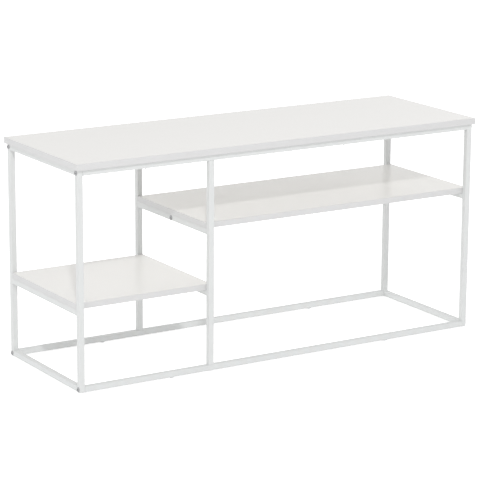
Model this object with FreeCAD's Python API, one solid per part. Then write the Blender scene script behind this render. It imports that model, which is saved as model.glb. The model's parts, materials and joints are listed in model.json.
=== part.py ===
# Console table: three boards on a frame of small square steel tubes.
#
# All lengths are in millimetres. +X runs along the table from its left end to its right end,
# +Y runs from its front to its back, and +Z is up. The origin is on the floor, under the middle
# of the top board.
#
# Two welded end frames are joined by four long rails, which are bolted on through the corners.
# A welded middle frame stands between the rails. It carries the left end of the long shelf, up on
# the right, and the right end of the short shelf, lower down on the left.
import FreeCAD, Part
import os

Vector = FreeCAD.Vector
AXIS_X = Vector(1, 0, 0)
AXIS_Y = Vector(0, 1, 0)
AXIS_Z = Vector(0, 0, 1)

# Driving dimensions: the boards and the frame.
TOP_LENGTH = 1200.0
TOP_DEPTH = 400.0
TOP_THICKNESS = 16.0
TOP_END_OVERHANG = 5.0
TOP_SIDE_OVERHANG = 8.0
SHELF_THICKNESS = 15.0
SHELF_CLEARANCE = 0.5
FRAME_HEIGHT = 562.0
MIDDLE_FRAME_OFFSET = 371.0
LONG_SHELF_HEIGHT = 385.0
SHORT_SHELF_HEIGHT = 225.0
GLIDE_HEIGHT = 3.0

# Tube stock, edge bands and plugs.
TUBE = 15.0
TUBE_WALL = 1.2
TUBE_CORNER = 1.5
TUBE_INNER_CORNER = 0.4
BAND = 1.0
BAND_ROUND = 0.6
THREADED_PLUG_LENGTH = 12.0
END_PLUG_THICKNESS = 3.5

# Bolts, M6, with domed heads.
BOLT_DIAMETER = 6.0
BOLT_LENGTH = 25.0
BOLT_HOLE = 6.6
BOLT_HEAD_DIAMETER = 12.5
BOLT_HEAD_HEIGHT = 3.3
BOLT_HEAD_RIM = 0.6
BOLT_SOCKET = 4.0
BOLT_SOCKET_DEPTH = 2.0

# Cap screws, M6, that hold the middle posts from inside the rails.
CAP_SCREW_LENGTH = 12.0
CAP_SCREW_HEAD_DIAMETER = 10.0
CAP_SCREW_HEAD_HEIGHT = 6.0
CAP_SCREW_SOCKET = 5.0
CAP_SCREW_SOCKET_DEPTH = 3.0
ACCESS_HOLE = 11.5

# Wood screws that hold the boards from below, through the tubes.
WOOD_SCREW_DIAMETER = 4.0
WOOD_SCREW_LENGTH = 25.0
WOOD_SCREW_TIP = 4.0
WOOD_SCREW_HEAD_DIAMETER = 8.0
WOOD_SCREW_HEAD_HEIGHT = 2.4
WOOD_SCREW_HEAD_RIM = 0.5
WOOD_SCREW_HOLE = 4.6
CROSSBAR_SCREW_SPREAD = 240.0
CENTRE_RAIL_SCREW_SPREAD = 400.0

# Glides.
GLIDE_DIAMETER = 12.0
GLIDE_ROUND = 0.8
GLIDE_STEM_DIAMETER = 5.0
GLIDE_STEM_LENGTH = 9.0
GLIDE_OFFSET = 266.0

# Levels and faces worked out from the driving dimensions.
FRAME_LENGTH = TOP_LENGTH - 2 * TOP_END_OVERHANG
FRAME_DEPTH = TOP_DEPTH - 2 * TOP_SIDE_OVERHANG
FRAME_BASE = GLIDE_HEIGHT
FRAME_TOP = FRAME_BASE + FRAME_HEIGHT
FRAME_END = FRAME_LENGTH / 2
FRAME_SIDE = FRAME_DEPTH / 2
HALF_TUBE = TUBE / 2
TUBE_BORE = TUBE - 2 * TUBE_WALL
LEG_X = FRAME_END - HALF_TUBE
LEG_Y = FRAME_SIDE - HALF_TUBE
INNER_END = FRAME_END - TUBE
INNER_SIDE = FRAME_SIDE - TUBE
BOTTOM_RAIL_Z = FRAME_BASE + HALF_TUBE
TOP_RAIL_Z = FRAME_TOP - HALF_TUBE
MIDDLE_X = -FRAME_END + MIDDLE_FRAME_OFFSET + HALF_TUBE
LONG_SHELF_TOP = FRAME_BASE + LONG_SHELF_HEIGHT
SHORT_SHELF_TOP = FRAME_BASE + SHORT_SHELF_HEIGHT
LONG_CROSSBAR_Z = LONG_SHELF_TOP - SHELF_THICKNESS - HALF_TUBE
SHORT_CROSSBAR_Z = SHORT_SHELF_TOP - SHELF_THICKNESS - HALF_TUBE
SIDES = {"front": -1, "rear": 1}
ENDS = {"left": -1, "right": 1}


def put(shape, start, direction):
    """Turns a shape that was made along +Z to lie along direction, and sets it at start."""
    shape.Placement = FreeCAD.Placement(start, FreeCAD.Rotation(AXIS_Z, direction))
    return shape


def rounded_bar(size, corner, length):
    """A square bar along +Z with rounded long edges."""
    bar = Part.makeBox(size, size, length, Vector(-size / 2, -size / 2, 0))
    long_edges = [edge for edge in bar.Edges if edge.BoundBox.ZLength > length / 2]
    return bar.makeFillet(corner, long_edges)


def tube(start, direction, length):
    """A length of the frame's square tube, open at both ends."""
    outside = rounded_bar(TUBE, TUBE_CORNER, length)
    bore = rounded_bar(TUBE_BORE, TUBE_INNER_CORNER, length)
    return put(outside.cut(bore), start, direction)


def bore_plug(start, direction, length):
    """A plug that fills the tube's bore."""
    return put(rounded_bar(TUBE_BORE, TUBE_INNER_CORNER, length), start, direction)


def drilled(solid, start, direction, diameter, depth):
    """The solid with one round hole in it."""
    return solid.cut(Part.makeCylinder(diameter / 2, depth, start, direction))


def hexagon_socket(across_flats, depth, level):
    """The space for a hexagon key, from level up along +Z."""
    corner_radius = across_flats / 3**0.5
    rim = Part.makePolygon([
        FreeCAD.Rotation(AXIS_Z, 60 * step).multVec(Vector(corner_radius, 0, level))
        for step in range(7)
    ])
    return Part.Face(rim).extrude(Vector(0, 0, depth))


def domed_head(diameter, height, rim):
    """A domed head along +Z whose flat underside is at 0 and whose dome rises towards -Z."""
    radius = diameter / 2
    rise = height - rim
    ball_radius = (radius**2 + rise**2) / (2 * rise)
    ball = Part.makeSphere(ball_radius, Vector(0, 0, ball_radius - height))
    return ball.common(Part.makeCylinder(radius, height, Vector(0, 0, -height)))


def domed_bolt(start, direction):
    """A bolt with a domed head. start is under its head, and its shank lies along direction."""
    head = domed_head(BOLT_HEAD_DIAMETER, BOLT_HEAD_HEIGHT, BOLT_HEAD_RIM)
    head = head.cut(hexagon_socket(BOLT_SOCKET, BOLT_SOCKET_DEPTH, -BOLT_HEAD_HEIGHT))
    shank = Part.makeCylinder(BOLT_DIAMETER / 2, BOLT_LENGTH)
    return put(head.fuse(shank).removeSplitter(), start, direction)


def cap_screw(start, direction):
    """A cylinder-head screw. start is under its head, and its shank lies along direction."""
    head = Part.makeCylinder(
        CAP_SCREW_HEAD_DIAMETER / 2, CAP_SCREW_HEAD_HEIGHT, Vector(0, 0, -CAP_SCREW_HEAD_HEIGHT)
    )
    head = head.cut(
        hexagon_socket(CAP_SCREW_SOCKET, CAP_SCREW_SOCKET_DEPTH, -CAP_SCREW_HEAD_HEIGHT)
    )
    shank = Part.makeCylinder(BOLT_DIAMETER / 2, CAP_SCREW_LENGTH)
    return put(head.fuse(shank).removeSplitter(), start, direction)


def wood_screw(start):
    """A pan-head wood screw that points up. start is under its head."""
    head = domed_head(WOOD_SCREW_HEAD_DIAMETER, WOOD_SCREW_HEAD_HEIGHT, WOOD_SCREW_HEAD_RIM)
    straight = WOOD_SCREW_LENGTH - WOOD_SCREW_TIP
    shank = Part.makeCylinder(WOOD_SCREW_DIAMETER / 2, straight)
    tip = Part.makeCone(WOOD_SCREW_DIAMETER / 2, 0, WOOD_SCREW_TIP, Vector(0, 0, straight))
    return put(head.fuse([shank, tip]).removeSplitter(), start, AXIS_Z)


def leg(end, side):
    """A leg with the holes for its two corner bolts."""
    piece = tube(Vector(end * LEG_X, side * LEG_Y, FRAME_BASE), AXIS_Z, FRAME_HEIGHT)
    for level in (BOTTOM_RAIL_Z, TOP_RAIL_Z):
        mouth = Vector(end * LEG_X - HALF_TUBE, side * LEG_Y, level)
        piece = drilled(piece, mouth, AXIS_X, BOLT_HOLE, TUBE)
    return piece


def crossbar(x, z):
    """A tube between a front upright and a rear upright."""
    return tube(Vector(x, -INNER_SIDE, z), AXIS_Y, 2 * INNER_SIDE)


def frame_tubes():
    """Every tube of the frame, by name, with the holes for the bolts."""
    tubes = {}
    for end_name, end in ENDS.items():
        for side_name, side in SIDES.items():
            tubes[f"{end_name}_{side_name}_leg"] = leg(end, side)
        tubes[f"{end_name}_top_crossbar"] = crossbar(end * LEG_X, TOP_RAIL_Z)
        tubes[f"{end_name}_bottom_crossbar"] = crossbar(end * LEG_X, BOTTOM_RAIL_Z)
    tubes["short_shelf_end_crossbar"] = crossbar(-LEG_X, SHORT_CROSSBAR_Z)
    tubes["long_shelf_end_crossbar"] = crossbar(LEG_X, LONG_CROSSBAR_Z)
    tubes["middle_lower_crossbar"] = crossbar(MIDDLE_X, SHORT_CROSSBAR_Z)
    tubes["middle_upper_crossbar"] = crossbar(MIDDLE_X, LONG_CROSSBAR_Z)
    for name, x in (("long_shelf_end_crossbar", LEG_X), ("middle_upper_crossbar", MIDDLE_X)):
        mouth = Vector(x - HALF_TUBE, 0, LONG_CROSSBAR_Z)
        tubes[name] = drilled(tubes[name], mouth, AXIS_X, BOLT_HOLE, TUBE)

    for side_name, side in SIDES.items():
        y = side * LEG_Y
        tubes[f"middle_{side_name}_post"] = tube(
            Vector(MIDDLE_X, y, FRAME_BASE + TUBE), AXIS_Z, FRAME_HEIGHT - 2 * TUBE
        )
        for level_name, z, outwards in (("top", TOP_RAIL_Z, 1), ("bottom", BOTTOM_RAIL_Z, -1)):
            rail = tube(Vector(-INNER_END, y, z), AXIS_X, 2 * INNER_END)
            centre = Vector(MIDDLE_X, y, z)
            rail = drilled(rail, centre, AXIS_Z * outwards, ACCESS_HOLE, HALF_TUBE)
            rail = drilled(rail, centre, AXIS_Z * -outwards, BOLT_HOLE, HALF_TUBE)
            tubes[f"{side_name}_{level_name}_rail"] = rail

    rail_start = MIDDLE_X + HALF_TUBE
    tubes["long_shelf_centre_rail"] = tube(
        Vector(rail_start, 0, LONG_CROSSBAR_Z), AXIS_X, INNER_END - rail_start
    )
    return tubes


def threaded_plug(start, direction):
    """A steel plug that sits in a tube's end from start inwards, with a threaded hole."""
    plug = bore_plug(start, direction, THREADED_PLUG_LENGTH)
    return drilled(plug, start, direction, BOLT_DIAMETER, THREADED_PLUG_LENGTH)


def corner_joints():
    """The bolts through the legs, and the threaded plugs in the long rails' ends."""
    bolts = []
    plugs = []
    for end in ENDS.values():
        inwards = AXIS_X * -end
        for side in SIDES.values():
            for level in (BOTTOM_RAIL_Z, TOP_RAIL_Z):
                bolts.append(domed_bolt(Vector(end * FRAME_END, side * LEG_Y, level), inwards))
                plugs.append(threaded_plug(Vector(end * INNER_END, side * LEG_Y, level), inwards))
    return {
        "corner_bolts": Part.makeCompound(bolts),
        "long_rail_threaded_plugs": Part.makeCompound(plugs),
    }


def centre_rail_joints():
    """The two bolts and two threaded plugs of the long shelf's centre rail."""
    bolts = []
    plugs = []
    for x, direction in ((MIDDLE_X, AXIS_X), (LEG_X, AXIS_X * -1)):
        centre = Vector(x, 0, LONG_CROSSBAR_Z)
        bolts.append(domed_bolt(centre - direction * HALF_TUBE, direction))
        plugs.append(threaded_plug(centre + direction * HALF_TUBE, direction))
    return {
        "centre_rail_bolts": Part.makeCompound(bolts),
        "centre_rail_threaded_plugs": Part.makeCompound(plugs),
    }


def post_joints():
    """The cap screws inside the long rails, and the threaded plugs in the middle posts' ends."""
    screws = []
    plugs = []
    for side in SIDES.values():
        for rail_z, inwards in ((TOP_RAIL_Z, AXIS_Z * -1), (BOTTOM_RAIL_Z, AXIS_Z)):
            centre = Vector(MIDDLE_X, side * LEG_Y, rail_z)
            screws.append(cap_screw(centre + inwards * (HALF_TUBE - TUBE_WALL), inwards))
            plugs.append(threaded_plug(centre + inwards * HALF_TUBE, inwards))
    return {
        "post_cap_screws": Part.makeCompound(screws),
        "post_threaded_plugs": Part.makeCompound(plugs),
    }


def leg_end_plugs():
    """The plastic plugs that close the legs, flush with their ends."""
    plugs = []
    for end in ENDS.values():
        for side in SIDES.values():
            for level, inwards in ((FRAME_BASE, AXIS_Z), (FRAME_TOP, AXIS_Z * -1)):
                start = Vector(end * LEG_X, side * LEG_Y, level)
                plugs.append(bore_plug(start, inwards, END_PLUG_THICKNESS))
    return {"leg_end_plugs": Part.makeCompound(plugs)}


def screw_places():
    """For each board, the tubes that it is screwed to and the screws' (x, y) on each tube."""
    spread = CROSSBAR_SCREW_SPREAD / 2
    left_bay_x = (-INNER_END + MIDDLE_X - HALF_TUBE) / 2
    right_bay_x = (INNER_END + MIDDLE_X + HALF_TUBE) / 2
    rail_spread = CENTRE_RAIL_SCREW_SPREAD / 2

    def on_crossbar(x):
        return [(x, -spread), (x, spread)]

    return {
        "top": {
            "left_top_crossbar": on_crossbar(-LEG_X),
            "right_top_crossbar": on_crossbar(LEG_X),
            "front_top_rail": [(left_bay_x, -LEG_Y), (right_bay_x, -LEG_Y)],
            "rear_top_rail": [(left_bay_x, LEG_Y), (right_bay_x, LEG_Y)],
        },
        "long_shelf": {
            "middle_upper_crossbar": on_crossbar(MIDDLE_X),
            "long_shelf_end_crossbar": on_crossbar(LEG_X),
            "long_shelf_centre_rail": [
                (right_bay_x - rail_spread, 0),
                (right_bay_x + rail_spread, 0),
            ],
        },
        "short_shelf": {
            "short_shelf_end_crossbar": on_crossbar(-LEG_X),
            "middle_lower_crossbar": on_crossbar(MIDDLE_X),
        },
    }


def edge_band(length, thickness):
    """A strip along +X whose outer face, at -Y, has rounded edges. Its inner face is at y = 0."""
    strip = Part.makeBox(length, BAND, thickness, Vector(-length / 2, -BAND, 0))
    outer_edges = [edge for edge in strip.Edges if edge.BoundBox.YMax < -BAND / 2]
    return strip.makeFillet(BAND_ROUND, outer_edges)


def banded_board(name, low, high):
    """A board from corner low to corner high: its core and the bands on its four edges."""
    size = high - low
    middle = (low + high) / 2
    core = Part.makeBox(
        size.x - 2 * BAND, size.y - 2 * BAND, size.z, low + Vector(BAND, BAND, 0)
    )
    pieces = {f"{name}_board": core}
    # The long bands run over the ends of the short ones. Each is given by its turn about +Z, its
    # length and how far its inner face is from the board's middle.
    bands = {
        "front": (0, size.x, size.y / 2 - BAND),
        "right": (90, size.y - 2 * BAND, size.x / 2 - BAND),
        "rear": (180, size.x, size.y / 2 - BAND),
        "left": (270, size.y - 2 * BAND, size.x / 2 - BAND),
    }
    for edge_name, (turn, length, reach) in bands.items():
        rotation = FreeCAD.Rotation(AXIS_Z, turn)
        band = edge_band(length, size.z)
        outwards = rotation.multVec(AXIS_Y * -reach)
        band.Placement = FreeCAD.Placement(Vector(middle.x, middle.y, low.z) + outwards, rotation)
        pieces[f"{name}_{edge_name}_edge_band"] = band
    return pieces


def boards():
    """The three boards. The shelves lie between the uprights and end at their outer faces."""
    top = banded_board(
        "top",
        Vector(-TOP_LENGTH / 2, -TOP_DEPTH / 2, FRAME_TOP),
        Vector(TOP_LENGTH / 2, TOP_DEPTH / 2, FRAME_TOP + TOP_THICKNESS),
    )
    shelf_side = INNER_SIDE - SHELF_CLEARANCE
    long_shelf = banded_board(
        "long_shelf",
        Vector(MIDDLE_X - HALF_TUBE, -shelf_side, LONG_SHELF_TOP - SHELF_THICKNESS),
        Vector(FRAME_END, shelf_side, LONG_SHELF_TOP),
    )
    short_shelf = banded_board(
        "short_shelf",
        Vector(-FRAME_END, -shelf_side, SHORT_SHELF_TOP - SHELF_THICKNESS),
        Vector(MIDDLE_X + HALF_TUBE, shelf_side, SHORT_SHELF_TOP),
    )
    return {**top, **long_shelf, **short_shelf}


def screw_boards_down(parts):
    """Adds each board's wood screws, and their holes in the tubes and in the board."""
    tube_levels = {"top": TOP_RAIL_Z, "long_shelf": LONG_CROSSBAR_Z, "short_shelf": SHORT_CROSSBAR_Z}
    for board, tubes in screw_places().items():
        screws = []
        for tube_name, places in tubes.items():
            for x, y in places:
                start = Vector(x, y, tube_levels[board] - HALF_TUBE)
                screws.append(wood_screw(start))
                parts[tube_name] = drilled(
                    parts[tube_name], start, AXIS_Z, WOOD_SCREW_HOLE, TUBE
                )
        parts[f"{board}_board"] = parts[f"{board}_board"].cut(screws)
        parts[f"{board}_board_screws"] = Part.makeCompound(screws)


def glide():
    """A round glide under a tube, with a stem that is pressed into the tube's wall."""
    disc = Part.makeCylinder(GLIDE_DIAMETER / 2, GLIDE_HEIGHT)
    lower_rim = [edge for edge in disc.Edges if edge.BoundBox.ZMax < GLIDE_HEIGHT / 2]
    disc = disc.makeFillet(GLIDE_ROUND, lower_rim)
    stem = Part.makeCylinder(
        GLIDE_STEM_DIAMETER / 2, GLIDE_STEM_LENGTH, Vector(0, 0, GLIDE_HEIGHT)
    )
    return disc.fuse(stem).removeSplitter()


def add_glides(parts):
    """Adds the four glides, and their holes in the bottom rails."""
    for end_name, end in ENDS.items():
        for side_name, side in SIDES.items():
            foot = Vector(end * (FRAME_END - GLIDE_OFFSET), side * LEG_Y, 0)
            piece = glide()
            piece.translate(foot)
            parts[f"{end_name}_{side_name}_glide"] = piece
            rail = f"{side_name}_bottom_rail"
            parts[rail] = drilled(
                parts[rail], foot, AXIS_Z, GLIDE_STEM_DIAMETER, GLIDE_HEIGHT + GLIDE_STEM_LENGTH
            )


def build():
    """Every piece of the table, by name."""
    parts = {
        **frame_tubes(),
        **boards(),
        **corner_joints(),
        **centre_rail_joints(),
        **post_joints(),
        **leg_end_plugs(),
    }
    screw_boards_down(parts)
    add_glides(parts)
    return parts


def save(parts):
    """Writes one STEP file for each piece."""
    os.makedirs("parts", exist_ok=True)
    for name, shape in parts.items():
        if not shape.isValid():
            raise ValueError(f"{name} is not a valid solid")
        shape.exportStep(f"parts/{name}.step")


save(build())
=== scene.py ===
import json
import math

import bmesh
import bpy
from mathutils import Matrix, Vector


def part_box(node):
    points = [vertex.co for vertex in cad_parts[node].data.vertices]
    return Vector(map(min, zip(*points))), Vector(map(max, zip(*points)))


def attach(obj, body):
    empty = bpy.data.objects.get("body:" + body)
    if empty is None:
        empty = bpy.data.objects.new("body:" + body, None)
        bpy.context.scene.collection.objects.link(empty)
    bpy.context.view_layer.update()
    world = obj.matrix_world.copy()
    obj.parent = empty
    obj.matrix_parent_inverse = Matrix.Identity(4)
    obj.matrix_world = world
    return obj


# Console table: white boards on a frame of small square steel tubes.
#
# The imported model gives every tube, board, band, bolt, screw, plug and glide at its real size.
# This script gives them their finishes, adds the weld beads that join the tubes, and sets the
# floor, the lights and the camera. Lengths are in metres.

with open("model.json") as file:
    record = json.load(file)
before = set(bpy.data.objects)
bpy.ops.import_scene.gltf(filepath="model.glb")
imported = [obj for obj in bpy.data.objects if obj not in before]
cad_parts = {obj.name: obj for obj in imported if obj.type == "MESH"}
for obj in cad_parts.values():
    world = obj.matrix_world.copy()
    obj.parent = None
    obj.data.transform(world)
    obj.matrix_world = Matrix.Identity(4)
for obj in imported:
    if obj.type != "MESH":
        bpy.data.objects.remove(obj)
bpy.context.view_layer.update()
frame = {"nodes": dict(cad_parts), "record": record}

# Weld beads: length, leg, and how far each bead sinks into the tubes.
WELD_LENGTH = 0.0125
WELD_LEG = 0.0022
WELD_SINK = 0.0003
# Ripples along a bead and their depth, the bulge of its face, and how blunt its ends are.
WELD_RIPPLES = 6
WELD_RIPPLE_DEPTH = 0.07
WELD_BULGE = 0.22
WELD_END_BLUNTNESS = 5
# Cuts along a bead and across its face.
WELD_STATIONS = 26
WELD_ARC_STEPS = 6

# The floor reaches this far each way. It glows, and the haze is added for the camera only.
FLOOR_HALF_SIZE = 30.0
FLOOR_WHITE = 0.92
FLOOR_GLOW = 0.17
FLOOR_HAZE = 0.40

# Key light: a small disk far away at the front left, for crisp shadows.
KEY_PLACE = Vector((-2.63, -4.62, 4.66))
KEY_AIM = Vector((0.0, 0.0, 0.3))
KEY_SIZE = 0.3
KEY_WATTS = 120.0

# The sky is brightest up to HORIZON_TOP degrees and fades to nothing straight above.
HORIZON = 0.82
HORIZON_TOP = 20.0
# Large soft lights: azimuth, elevation and radius in degrees, and strength.
SOFT_LIGHTS = (
    (-120.0, 10.0, 45.0, 0.45),
    (110.0, 10.0, 45.0, 0.33),
    (0.0, 90.0, 90.0, 0.28),
)

# Camera: where it stands from its aim, in degrees as for the soft lights, and its lens.
CAMERA_AZIMUTH = -31.76
CAMERA_ELEVATION = 13.84
CAMERA_ROLL = 0.33
CAMERA_DISTANCE = 6.029
CAMERA_AIM = Vector((0.0, 0.023, 0.273))
CAMERA_LENS_MM = 170.6
CAMERA_CLIP_END = 200.0


# Materials

# Most values of the noise lie between these two.
NOISE_LOW = 0.3
NOISE_HIGH = 0.7


def start_material(name):
    """A new material with its Principled shader and its node tree."""
    material = bpy.data.materials.new(name)
    material.use_nodes = True
    tree = material.node_tree
    return material, tree.nodes["Principled BSDF"], tree


def noise(tree, scale):
    """Noise that is fixed to the piece. scale is in features per metre."""
    place = tree.nodes.new("ShaderNodeTexCoord")
    texture = tree.nodes.new("ShaderNodeTexNoise")
    texture.inputs["Scale"].default_value = scale
    tree.links.new(place.outputs["Object"], texture.inputs["Vector"])
    return texture.outputs["Fac"]


def vary_color(tree, shader, pattern, dark, light):
    """Lets the pattern move the base colour between dark and light."""
    ramp = tree.nodes.new("ShaderNodeValToRGB")
    ramp.color_ramp.elements[0].position = NOISE_LOW
    ramp.color_ramp.elements[0].color = (*dark, 1.0)
    ramp.color_ramp.elements[1].position = NOISE_HIGH
    ramp.color_ramp.elements[1].color = (*light, 1.0)
    tree.links.new(pattern, ramp.inputs["Fac"])
    tree.links.new(ramp.outputs["Color"], shader.inputs["Base Color"])


def vary_roughness(tree, shader, pattern, smooth, rough):
    """Lets the pattern move the roughness between smooth and rough."""
    spread = tree.nodes.new("ShaderNodeMapRange")
    spread.inputs["From Min"].default_value = NOISE_LOW
    spread.inputs["From Max"].default_value = NOISE_HIGH
    spread.inputs["To Min"].default_value = smooth
    spread.inputs["To Max"].default_value = rough
    tree.links.new(pattern, spread.inputs["Value"])
    tree.links.new(spread.outputs["Result"], shader.inputs["Roughness"])


def add_bump(tree, shader, pattern, height):
    """Raises the surface by the pattern, up to height."""
    bump = tree.nodes.new("ShaderNodeBump")
    bump.inputs["Distance"].default_value = height
    tree.links.new(pattern, bump.inputs["Height"])
    tree.links.new(bump.outputs["Normal"], shader.inputs["Normal"])


def shade(color, factor):
    """The colour, made darker or lighter by a factor."""
    return tuple(channel * factor for channel in color)


def powder_coat():
    """White powder coat on the tubes: satin, with a fine orange peel."""
    material, shader, tree = start_material("white_powder_coat")
    white = (0.69, 0.703, 0.70)
    shader.inputs["Specular IOR Level"].default_value = 0.54
    vary_color(tree, shader, noise(tree, 25.0), shade(white, 0.99), shade(white, 1.01))
    vary_roughness(tree, shader, noise(tree, 60.0), 0.36, 0.46)
    add_bump(tree, shader, noise(tree, 700.0), 0.00002)
    return material


def laminate():
    """White melamine laminate on the boards: smooth, warm white and softly glossy."""
    material, shader, tree = start_material("white_melamine")
    white = (0.863, 0.851, 0.828)
    vary_color(tree, shader, noise(tree, 6.0), shade(white, 0.997), shade(white, 1.003))
    vary_roughness(tree, shader, noise(tree, 300.0), 0.25, 0.27)
    add_bump(tree, shader, noise(tree, 900.0), 0.000001)
    return material


def edging():
    """White plastic edge band: a little cooler and duller than the laminate."""
    material, shader, tree = start_material("white_edge_band")
    white = (0.655, 0.654, 0.655)
    vary_color(tree, shader, noise(tree, 30.0), shade(white, 0.99), shade(white, 1.01))
    vary_roughness(tree, shader, noise(tree, 80.0), 0.38, 0.48)
    add_bump(tree, shader, noise(tree, 500.0), 0.00003)
    return material


def zinc():
    """Zinc plate on bolts and screws: grey metal with a faint mottle."""
    material, shader, tree = start_material("zinc_plate")
    grey = (0.42, 0.42, 0.43)
    shader.inputs["Metallic"].default_value = 1.0
    vary_color(tree, shader, noise(tree, 400.0), shade(grey, 0.85), shade(grey, 1.1))
    vary_roughness(tree, shader, noise(tree, 900.0), 0.28, 0.42)
    add_bump(tree, shader, noise(tree, 1500.0), 0.00003)
    return material


def moulded_plastic(name, color):
    """Matt moulded plastic with a fine grain."""
    material, shader, tree = start_material(name)
    vary_color(tree, shader, noise(tree, 200.0), shade(color, 0.96), shade(color, 1.02))
    vary_roughness(tree, shader, noise(tree, 300.0), 0.5, 0.6)
    add_bump(tree, shader, noise(tree, 1200.0), 0.00004)
    return material


def floor_material():
    """Matt white floor that glows a little, and more to the camera, to stay clean white."""
    material, shader, tree = start_material("pale_floor")
    shader.inputs["Base Color"].default_value = (FLOOR_WHITE, FLOOR_WHITE, FLOOR_WHITE, 1.0)
    shader.inputs["Roughness"].default_value = 0.9
    shader.inputs["Specular IOR Level"].default_value = 0.0
    shader.inputs["Emission Color"].default_value = (1.0, 1.0, 1.0, 1.0)
    seen = tree.nodes.new("ShaderNodeLightPath").outputs["Is Camera Ray"]
    glow = tree.nodes.new("ShaderNodeMapRange")
    glow.inputs["To Min"].default_value = FLOOR_GLOW
    glow.inputs["To Max"].default_value = FLOOR_GLOW + FLOOR_HAZE
    tree.links.new(seen, glow.inputs["Value"])
    tree.links.new(glow.outputs["Result"], shader.inputs["Emission Strength"])
    return material


def paint_nodes():
    """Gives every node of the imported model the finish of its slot, and returns the finishes."""
    finishes = {
        "painted_steel": powder_coat(),
        "white_laminate": laminate(),
        "white_edging": edging(),
        "zinc_steel": zinc(),
        "plug_plastic": moulded_plastic("moulded_plug", (0.62, 0.62, 0.62)),
        "glide_plastic": moulded_plastic("moulded_glide", (0.70, 0.71, 0.71)),
    }
    for subpart in frame["record"]["subparts"]:
        piece = frame["nodes"][subpart["node"]]
        piece.data.materials.clear()
        piece.data.materials.append(finishes[subpart["material_slot"]])
    return finishes


# Weld beads: small painted fillets in the inside corners where crossbars meet legs and posts


def add_bead(shape, corner, inward, upward):
    """One fillet along X in a corner. inward and upward are the signs of its two legs."""
    rings = []
    for station in range(WELD_STATIONS + 1):
        along = station / WELD_STATIONS
        swell = max(0.0, 1.0 - abs(2.0 * along - 1.0) ** WELD_END_BLUNTNESS) ** 0.5
        ripple = 1.0 + WELD_RIPPLE_DEPTH * math.sin(along * WELD_RIPPLES * 2.0 * math.pi)
        leg = WELD_LEG * swell * ripple
        x = corner.x + (along - 0.5) * WELD_LENGTH
        ring = [shape.verts.new((
            x, corner.y - inward * WELD_SINK, corner.z - upward * WELD_SINK
        ))]
        for step in range(WELD_ARC_STEPS + 1):
            turn = step / WELD_ARC_STEPS
            bulge = 1.0 + WELD_BULGE * math.sin(turn * math.pi)
            ring.append(shape.verts.new((
                x,
                corner.y + inward * (leg * (1.0 - turn) * bulge - WELD_SINK * turn),
                corner.z + upward * (leg * turn * bulge - WELD_SINK * (1.0 - turn)),
            )))
        rings.append(ring)
    count = len(rings[0])
    for first, second in zip(rings, rings[1:]):
        for index in range(count):
            after = (index + 1) % count
            shape.faces.new((first[index], first[after], second[after], second[index]))
    shape.faces.new(rings[0])
    shape.faces.new(rings[-1])


def add_welds(name, under_bars, over_bars, finish):
    """The beads of one welded frame: below some crossbars and above others."""
    shape = bmesh.new()
    for bars, upward in ((under_bars, -1.0), (over_bars, 1.0)):
        for bar in bars:
            low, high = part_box(bar)
            x = (low[0] + high[0]) / 2.0
            z = high[2] if upward > 0.0 else low[2]
            add_bead(shape, Vector((x, low[1], z)), 1.0, upward)
            add_bead(shape, Vector((x, high[1], z)), -1.0, upward)
    bmesh.ops.recalc_face_normals(shape, faces=shape.faces)
    mesh = bpy.data.meshes.new(name)
    shape.to_mesh(mesh)
    shape.free()
    mesh.polygons.foreach_set("use_smooth", [True] * len(mesh.polygons))
    welds = bpy.data.objects.new(name, mesh)
    welds.data.materials.append(finish)
    bpy.context.scene.collection.objects.link(welds)
    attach(welds, "root")


# The stage: floor, lights and camera

def add_floor():
    """A large flat floor at the table's feet."""
    mesh = bpy.data.meshes.new("floor")
    shape = bmesh.new()
    bmesh.ops.create_grid(shape, x_segments=1, y_segments=1, size=FLOOR_HALF_SIZE)
    shape.to_mesh(mesh)
    shape.free()
    floor = bpy.data.objects.new("floor", mesh)
    floor.data.materials.append(floor_material())
    bpy.context.scene.collection.objects.link(floor)


def direction(azimuth, elevation):
    """Unit vector; azimuth in degrees is 0 at the front and 90 at the right."""
    turn, rise = math.radians(azimuth), math.radians(elevation)
    return Vector((
        math.sin(turn) * math.cos(rise), -math.cos(turn) * math.cos(rise), math.sin(rise)
    ))


def add_key_light():
    """The key light: high, in front and to the left."""
    lamp = bpy.data.lights.new("key_light", "AREA")
    lamp.shape = "DISK"
    lamp.size = KEY_SIZE
    lamp.energy = KEY_WATTS
    light = bpy.data.objects.new("key_light", lamp)
    light.location = KEY_PLACE
    light.rotation_euler = (KEY_AIM - KEY_PLACE).to_track_quat("-Z", "Y").to_euler()
    bpy.context.scene.collection.objects.link(light)


def smooth_step(tree, value, start, end):
    """0 before start and 1 after end, with a soft ramp between."""
    ramp = tree.nodes.new("ShaderNodeMapRange")
    ramp.interpolation_type = "SMOOTHSTEP"
    ramp.inputs["From Min"].default_value = start
    ramp.inputs["From Max"].default_value = end
    tree.links.new(value, ramp.inputs["Value"])
    return ramp.outputs["Result"]


def math_node(tree, operation, first, second):
    """One maths step. Each side is a socket or a number."""
    node = tree.nodes.new("ShaderNodeMath")
    node.operation = operation
    for socket, value in zip(node.inputs, (first, second)):
        if isinstance(value, (int, float)):
            socket.default_value = value
        else:
            tree.links.new(value, socket)
    return node.outputs[0]


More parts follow.
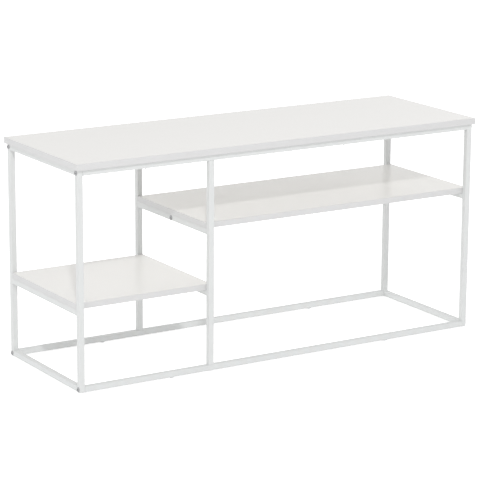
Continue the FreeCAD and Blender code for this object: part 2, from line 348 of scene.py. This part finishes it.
def add_sky():
    """Soft studio light from all round: a bright horizon and a few large soft lights."""
    world = bpy.data.worlds.new("studio")
    world.use_nodes = True
    tree = world.node_tree
    place = tree.nodes.new("ShaderNodeTexCoord").outputs["Generated"]
    up = tree.nodes.new("ShaderNodeSeparateXYZ")
    tree.links.new(place, up.inputs[0])
    angle = math_node(tree, "ARCSINE", up.outputs["Z"], 0.0)
    fade = smooth_step(tree, angle, math.radians(90.0), math.radians(HORIZON_TOP))
    total = math_node(tree, "MULTIPLY", fade, HORIZON)
    for azimuth, elevation, radius, strength in SOFT_LIGHTS:
        facing = tree.nodes.new("ShaderNodeVectorMath")
        facing.operation = "DOT_PRODUCT"
        tree.links.new(place, facing.inputs[0])
        facing.inputs[1].default_value = direction(azimuth, elevation)
        glow = smooth_step(tree, facing.outputs["Value"], math.cos(math.radians(radius)), 1.0)
        total = math_node(tree, "ADD", total, math_node(tree, "MULTIPLY", glow, strength))
    tree.links.new(total, tree.nodes["Background"].inputs["Strength"])
    tree.nodes["Background"].inputs["Color"].default_value = (1.0, 1.0, 1.0, 1.0)
    bpy.context.scene.world = world


def add_camera():
    """A long-lens camera in front of the table, to its left and a little above it."""
    lens = bpy.data.cameras.new("camera")
    lens.lens = CAMERA_LENS_MM
    lens.clip_end = CAMERA_CLIP_END
    camera = bpy.data.objects.new("camera", lens)
    towards_camera = direction(CAMERA_AZIMUTH, CAMERA_ELEVATION)
    upright = towards_camera.to_track_quat("Z", "Y").to_matrix()
    roll = Matrix.Rotation(math.radians(CAMERA_ROLL), 3, "Z")
    place = Matrix.Translation(CAMERA_AIM + towards_camera * CAMERA_DISTANCE)
    camera.matrix_world = place @ (upright @ roll).to_4x4()
    bpy.context.scene.collection.objects.link(camera)
    bpy.context.scene.camera = camera


finishes = paint_nodes()
paint = finishes["painted_steel"]
add_welds(
    "left_frame_welds", ["left_top_crossbar", "short_shelf_end_crossbar"],
    ["left_bottom_crossbar"], paint,
)
add_welds(
    "right_frame_welds", ["right_top_crossbar", "long_shelf_end_crossbar"],
    ["right_bottom_crossbar"], paint,
)
add_welds("middle_frame_welds", ["middle_upper_crossbar", "middle_lower_crossbar"], [], paint)
add_floor()
add_key_light()
add_sky()
add_camera()
bpy.context.scene.view_settings.view_transform = "Standard"
